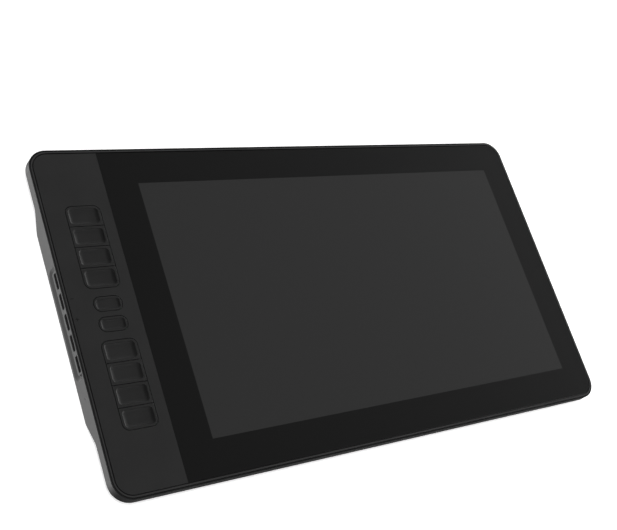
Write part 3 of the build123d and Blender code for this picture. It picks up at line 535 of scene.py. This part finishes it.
cover_glass, tree, shader = new_material("cover_glass", specular=coating_sheen)
cell_low, cell_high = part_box("lcd_panel")
lit_low = Vector((cell_low.x + cell_border, cell_low.y + cell_driver_border))
lit_high = Vector((cell_high.x - cell_border, cell_high.y - cell_border))
lit_area = place_group(tree, rounded_field, {
    "Centre X": (lit_low.x + lit_high.x) / 2,
    "Centre Y": (lit_low.y + lit_high.y) / 2,
    "Half Length": (lit_high.x - lit_low.x) / 2,
    "Half Width": (lit_high.y - lit_low.y) / 2,
    "Corner": lit_corner,
    "Softness": lit_softness,
})["Mask"]
pixels = place(tree, "ShaderNodeTexChecker", {
    "Scale": 1.0,
    "Color1": grey(display_shade * (1 - pixel_contrast)),
    "Color2": grey(display_shade * (1 + pixel_contrast)),
})
tree.links.new(piece_place(tree, pixel_pitch), pixels.inputs["Vector"])
face_colour = mixed(tree, lit_area, grey(ink_shade), pixels.outputs["Color"])
tree.links.new(face_colour, shader.inputs["Base Color"])
etch = place_group(tree, moulded_grain, {"Grain Size": etch_grain})
etched = spread(
    tree, etch["Mottle"], 0.0, 1.0, etched_rough - etch_change, etched_rough + etch_change,
)
tree.links.new(etched, shader.inputs["Roughness"])
handled(tree, shader, patch=glass_haze_patch, change=glass_haze)
bump(tree, shader, etch["Height"], etch_depth)
finish_of(cover_glass, "cover_glass")


# Side keys
# Five small bars in black plastic, each in its slot in the left wall, where a flange behind the
# wall keeps it from falling out. Their black is deepened to near-black, almost without sheen, as
# painted shade of the slots.
# Painted shade: the keys' near-black colour and low sheen stand for the shade in their slots.
side_key_plastic, *_ = moulded_plastic(
    "side_key_plastic", shades=(0.0008, 0.0014), rough=0.6, grain=0.2 * mm, depth=0.003 * mm,
    edge=0.1 * mm, specular=0.04,
)
finish_of(side_key_plastic, *[name for name in nodes if name.startswith("side_key_")])


# Indicator
# A smoked round window, set a little deep in its hole in the left wall. The light behind it
# shows that the tablet is on.
indicator_coat = 0.4

indicator_plastic, _, shader = moulded_plastic(
    "indicator_plastic", shades=(0.002, 0.004), rough=0.12, grain=0.5 * mm, depth=0.0005 * mm,
    edge=0.1 * mm, rub=0.0,
)
shader.inputs["Coat Weight"].default_value = indicator_coat
finish_of(indicator_plastic, "indicator_lens")


# Adhesive tapes
# Two frames of black foam tape, die-cut from a roll and sticky on both sides. They hold the glass
# and the key panel to the frame.
tape_foam, *_ = moulded_plastic(
    "tape_foam", shades=(0.006, 0.012), rough=0.85, grain=0.4 * mm, depth=0.02 * mm,
    edge=0.2 * mm, rub=0.0, specular=0.2,
)
finish_of(tape_foam, "glass_tape", "panel_tape")


# Display cell and backlight
# The cell is a dark glass sandwich, bonded under the cover glass. The backlight's tray is thin
# rolled metal, folded up round the light guide.
cell_shades = (grey(0.012), (0.03, 0.034, 0.04, 1.0))
cell_rough = (0.08, 0.16)
cell_layer = 0.2 * mm
cell_stretch = 200.0
streak_range = (0.3, 0.7)

# The fine streaks that rolling or turning leaves along a metal, or layers along glass.
rolled_metal, given, result = new_group(
    "rolled_metal", {"Streak Size": 0.5 * mm, "Stretch": 30.0}, ["Streak"],
)
along_roll = place(rolled_metal, "ShaderNodeCombineXYZ", {"Y": 1.0, "Z": 1.0})
squeeze = sum_of(rolled_metal, "DIVIDE", 1.0, given["Stretch"])
rolled_metal.links.new(squeeze, along_roll.inputs["X"])
stretched = place(rolled_metal, "ShaderNodeVectorMath", operation="MULTIPLY")
rolled_metal.links.new(piece_place(rolled_metal, given["Streak Size"]), stretched.inputs[0])
rolled_metal.links.new(along_roll.outputs[0], stretched.inputs[1])
streaks = place(rolled_metal, "ShaderNodeTexNoise", {"Scale": 1.0, "Detail": 3.0})
rolled_metal.links.new(stretched.outputs[0], streaks.inputs["Vector"])
streak = spread(rolled_metal, streaks.outputs["Fac"], *streak_range)
rolled_metal.links.new(streak, result["Streak"])


def sheet_metal(name, shades, rough, streak, stretch, depth):
    """Bare or plated metal, with the streaks of its rolling or turning."""
    material, tree, shader = new_material(name, metallic=1.0)
    sizes = {"Streak Size": streak, "Stretch": stretch}
    lines = place_group(tree, rolled_metal, sizes)["Streak"]
    tree.links.new(mixed(tree, lines, *shades), shader.inputs["Base Color"])
    tree.links.new(spread(tree, lines, 0.0, 1.0, *rough), shader.inputs["Roughness"])
    bump(tree, shader, lines, depth)
    return material


display_cell, tree, shader = new_material("display_cell")
layer_sizes = {"Streak Size": cell_layer, "Stretch": cell_stretch}
layers = place_group(tree, rolled_metal, layer_sizes)["Streak"]
tree.links.new(mixed(tree, layers, *cell_shades), shader.inputs["Base Color"])
tree.links.new(spread(tree, layers, 0.0, 1.0, *cell_rough), shader.inputs["Roughness"])
finish_of(display_cell, "lcd_panel")

tray_metal = sheet_metal(
    "tray_metal", shades=(grey(0.42), grey(0.55)), rough=(0.32, 0.45),
    streak=0.4 * mm, stretch=40.0, depth=0.002 * mm,
)
finish_of(tray_metal, "backlight")


# Shield plate and screws
# The shield is rolled steel with a zinc finish. Small zinc-plated screws hold it and the boards,
# and blackened ones close the case.
shield_metal = sheet_metal(
    "shield_metal", shades=((0.38, 0.39, 0.41, 1.0), (0.5, 0.51, 0.53, 1.0)), rough=(0.35, 0.5),
    streak=0.5 * mm, stretch=60.0, depth=0.003 * mm,
)
finish_of(shield_metal, "shield_plate")

screw_steel = sheet_metal(
    "screw_steel", shades=((0.45, 0.45, 0.44, 1.0), (0.6, 0.6, 0.58, 1.0)), rough=(0.22, 0.34),
    streak=0.15 * mm, stretch=4.0, depth=0.002 * mm,
)
finish_of(
    screw_steel, "shield_screws", "key_board_screws", "side_board_screws", "main_board_screws",
)

screw_black = sheet_metal(
    "screw_black", shades=(grey(0.022), grey(0.045)), rough=(0.34, 0.48),
    streak=0.15 * mm, stretch=4.0, depth=0.002 * mm,
)
finish_of(screw_black, "case_screws")


# Boards
# Glass-fibre boards under a green solder mask, with the copper tracks standing out a little. The
# pen sensor's board is black, with a close grid of loops.
mask_rough = 0.34
over_copper_rough = 0.24
copper_step = 0.03 * mm
track_length = 7.0
track_stagger = 0.37

# Copper tracks side by side, broken at intervals.
board_tracks, given, result = new_group(
    "board_tracks", {"Pitch": 1.2 * mm, "Track": 0.12}, ["Track"],
)
lanes = place(
    board_tracks, "ShaderNodeTexBrick",
    {
        "Scale": 1.0, "Row Height": 1.0, "Brick Width": track_length,
        "Color1": grey(0.0), "Color2": grey(0.0), "Mortar": grey(1.0),
    },
    offset=track_stagger,
)
board_tracks.links.new(piece_place(board_tracks, given["Pitch"]), lanes.inputs["Vector"])
board_tracks.links.new(given["Track"], lanes.inputs["Mortar Size"])
board_tracks.links.new(lanes.outputs["Color"], result["Track"])


def solder_mask(name, shades, pitch, track):
    """A lacquered board whose copper shows through."""
    material, tree, shader = new_material(name)
    copper = place_group(tree, board_tracks, {"Pitch": pitch, "Track": track})["Track"]
    tree.links.new(mixed(tree, copper, *shades), shader.inputs["Base Color"])
    rough = spread(tree, copper, 0.0, 1.0, mask_rough, over_copper_rough)
    tree.links.new(rough, shader.inputs["Roughness"])
    bump(tree, shader, copper, copper_step)
    return material


green_mask = solder_mask(
    "green_mask", shades=((0.012, 0.075, 0.03, 1.0), (0.03, 0.15, 0.06, 1.0)),
    pitch=1.4 * mm, track=0.12,
)
finish_of(green_mask, "key_board", "side_board", "main_board")

black_mask = solder_mask(
    "black_mask", shades=((0.008, 0.009, 0.011, 1.0), (0.03, 0.024, 0.014, 1.0)),
    pitch=3.0 * mm, track=0.06,
)
finish_of(black_mask, "digitizer_board")


# Chips, switches and connectors
# Black moulded packages and tact switches in the same plastic, and pale nylon sockets for the
# flat cables. All of them are soldered to the boards.
chip_plastic, *_ = moulded_plastic(
    "chip_plastic", shades=(0.012, 0.02), rough=0.5, grain=0.15 * mm, depth=0.004 * mm,
    edge=0.1 * mm,
)
finish_of(chip_plastic, "board_chips", "key_switches", "side_switches")

connector_nylon, *_ = moulded_plastic(
    "connector_nylon", shades=(0.5, 0.58), rough=0.45, grain=0.3 * mm, depth=0.002 * mm,
    edge=0.1 * mm,
)
finish_of(connector_nylon, "cable_connectors")


# Flat cables
# Amber film round copper conductors that lie side by side. Each cable is folded to its path, and
# its ends are clamped in the connectors.
conductor_pitch = 0.5 * mm
conductor_scale = 0.5
conductor_range = (0.45, 0.6)
conductor_step = 0.02 * mm
film_amber = (0.45, 0.2, 0.05, 1.0)
cable_rough = 0.42
wire_copper = (0.3, 0.11, 0.03, 1.0)
wire_rough = 0.3

flat_cable, tree, shader = new_material("flat_cable")
wires = place(
    tree, "ShaderNodeTexWave", {"Scale": conductor_scale, "Distortion": 0.0},
    bands_direction="DIAGONAL",
)
tree.links.new(piece_place(tree, conductor_pitch), wires.inputs["Vector"])
wire = spread(tree, wires.outputs["Fac"], *conductor_range)
tree.links.new(mixed(tree, wire, film_amber, wire_copper), shader.inputs["Base Color"])
tree.links.new(spread(tree, wire, 0.0, 1.0, cable_rough, wire_rough), shader.inputs["Roughness"])
bump(tree, shader, wire, conductor_step)
finish_of(flat_cable, "display_flex", "sensor_flex", "key_flex", "side_flex")


# Sockets
# The power socket is a bored black body round a plated pin. The video and data sockets are folded
# from plated sheet, each round a black tongue that carries its row of gilt contacts.
contact_thickness = 0.06 * mm
contact_set_back = 0.35 * mm

socket_plastic, *_ = moulded_plastic(
    "socket_plastic", shades=(0.008, 0.014), rough=0.42, grain=0.2 * mm, depth=0.002 * mm,
    edge=0.1 * mm,
)
finish_of(socket_plastic, "power_socket", "video_tongue", "data_tongue")

socket_metal = sheet_metal(
    "socket_metal", shades=((0.52, 0.51, 0.49, 1.0), (0.66, 0.65, 0.62, 1.0)), rough=(0.2, 0.3),
    streak=0.2 * mm, stretch=12.0, depth=0.001 * mm,
)
finish_of(socket_metal, "power_pin", "video_socket", "data_socket")

gilt = sheet_metal(
    "gilt", shades=((0.62, 0.42, 0.14, 1.0), (0.75, 0.53, 0.2, 1.0)), rough=(0.2, 0.3),
    streak=0.15 * mm, stretch=10.0, depth=0.001 * mm,
)


def contact_row(name, tongue, count, width_share):
    """The contacts on both faces of a tongue, as thin strips side by side."""
    low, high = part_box(tongue)
    row = new_piece(name, gilt)
    mesh = bmesh.new()
    pitch = (high.y - low.y) / (count + 1)
    half = pitch * width_share / 2
    for index in range(count):
        middle = low.y + pitch * (index + 1)
        strip = [
            (low.x, middle - half), (high.x - contact_set_back, middle - half),
            (high.x - contact_set_back / 2, middle), (high.x - contact_set_back, middle + half),
            (low.x, middle + half),
        ]
        add_prism(mesh, strip, high.z, high.z + contact_thickness)
        add_prism(mesh, strip, low.z - contact_thickness, low.z)
    finish_mesh(mesh, row)


contact_row("video_contacts", "video_tongue", count=10, width_share=0.5)
contact_row("data_contacts", "data_tongue", count=12, width_share=0.45)


# Mount inserts
# Four turned brass inserts at the corners of a square, pressed into their bosses. Each has a
# thread cut in its bore for the screw of a stand.
insert_square = 75 * mm
insert_bore = 2.0 * mm
thread_pitch = 0.7 * mm
thread_depth = 0.3 * mm
thread_crest = 0.12 * mm
thread_steps = 28

insert_brass = sheet_metal(
    "insert_brass", shades=((0.5, 0.36, 0.14, 1.0), (0.66, 0.49, 0.22, 1.0)), rough=(0.24, 0.36),
    streak=0.12 * mm, stretch=3.0, depth=0.002 * mm,
)
finish_of(insert_brass, "mount_inserts")


def thread_ring(angle, height):
    """The four points of the thread's section at one angle, from its root to its crest."""
    half = thread_pitch / 2 - thread_crest / 2
    section = (
        (0, -half), (thread_depth, -thread_crest / 2), (thread_depth, thread_crest / 2), (0, half),
    )
    points = []
    for inward, lift in section:
        radius = insert_bore - inward
        points.append(Vector((radius * cos(angle), radius * sin(angle), height + lift)))
    return points


def add_thread(mesh, centre, low, high):
    """One helical thread that stands inside a bore, closed at both ends."""
    start = low + thread_pitch
    turns = (high - low - 2 * thread_pitch) / thread_pitch
    count = round(turns * thread_steps)
    rings = []
    for step in range(count + 1):
        height = start + thread_pitch * step / thread_steps
        section = thread_ring(tau * step / thread_steps, height)
        rings.append([mesh.verts.new(centre + point) for point in section])
    for before, after in zip(rings, rings[1:]):
        for corner in range(4):
            beside = (corner + 1) % 4
            mesh.faces.new((before[corner], before[beside], after[beside], after[corner]))
    mesh.faces.new(rings[0])
    mesh.faces.new(reversed(rings[-1]))


inserts_low, inserts_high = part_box("mount_inserts")
insert_radius = (inserts_high.x - inserts_low.x) / 2 - insert_square / 2
threads = new_piece("insert_threads", insert_brass)
mesh = bmesh.new()
for x in (inserts_low.x + insert_radius, inserts_high.x - insert_radius):
    for y in (inserts_low.y + insert_radius, inserts_high.y - insert_radius):
        add_thread(mesh, Vector((x, y, 0.0)), inserts_low.z, inserts_high.z)
finish_mesh(mesh, threads)


# Underside
# Four long rubber feet are glued into their recesses. A blank film with a thin printed frame is
# stuck into the sunk field between the inserts.
film_length = 76 * mm
film_width = 32 * mm
film_corner = 2.2 * mm
film_thickness = 0.12 * mm
film_ceiling = 1.05 * mm
film_frame_inset = 2.5 * mm
film_frame_line = 0.3 * mm
film_frame_softness = 0.05 * mm
film_shade = 0.022
film_frame_shade = 0.12
film_sheen = 0.4
film_rough = (0.5, 0.56)
film_grain = 0.2 * mm
film_grain_depth = 0.001 * mm
corner_steps = 8

foot_rubber, *_ = moulded_plastic(
    "foot_rubber", shades=(0.014, 0.022), rough=0.82, grain=0.5 * mm, depth=0.02 * mm,
    edge=0.3 * mm, rub=0.05, specular=0.3,
)
finish_of(foot_rubber, "rubber_feet")


def rounded_outline(length, width, corner, steps):
    """The points of a rounded rectangle about the origin."""
    points = []
    for quarter, (x, y) in enumerate(((1, 1), (-1, 1), (-1, -1), (1, -1))):
        for step in range(steps + 1):
            angle = pi / 2 * (quarter + step / steps)
            centre_x = x * (length / 2 - corner)
            centre_y = y * (width / 2 - corner)
            points.append((centre_x + corner * cos(angle), centre_y + corner * sin(angle)))
    return points


def film_field(tree, inset, corner):
    """The part of the film within an inset from its edge."""
    return place_group(tree, rounded_field, {
        "Half Length": film_length / 2 - inset, "Half Width": film_width / 2 - inset,
        "Corner": corner, "Softness": film_frame_softness,
    })["Mask"]


label_film, tree, shader = new_material("label_film", specular=film_sheen)
outer = film_field(tree, film_frame_inset, film_corner)
inner = film_field(tree, film_frame_inset + film_frame_line, film_corner - film_frame_line)
frame_line = sum_of(tree, "SUBTRACT", outer, inner)
film_colour = mixed(tree, frame_line, grey(film_shade), grey(film_frame_shade))
tree.links.new(film_colour, shader.inputs["Base Color"])
film_texture = place_group(tree, moulded_grain, {"Grain Size": film_grain})
film_wear = spread(tree, film_texture["Mottle"], 0.0, 1.0, *film_rough)
tree.links.new(film_wear, shader.inputs["Roughness"])
bump(tree, shader, film_texture["Height"], film_grain_depth)

film = new_piece("label_film", label_film)
mesh = bmesh.new()
film_outline = rounded_outline(film_length, film_width, film_corner, corner_steps)
add_prism(mesh, film_outline, film_ceiling - film_thickness, film_ceiling)
finish_mesh(mesh, film)
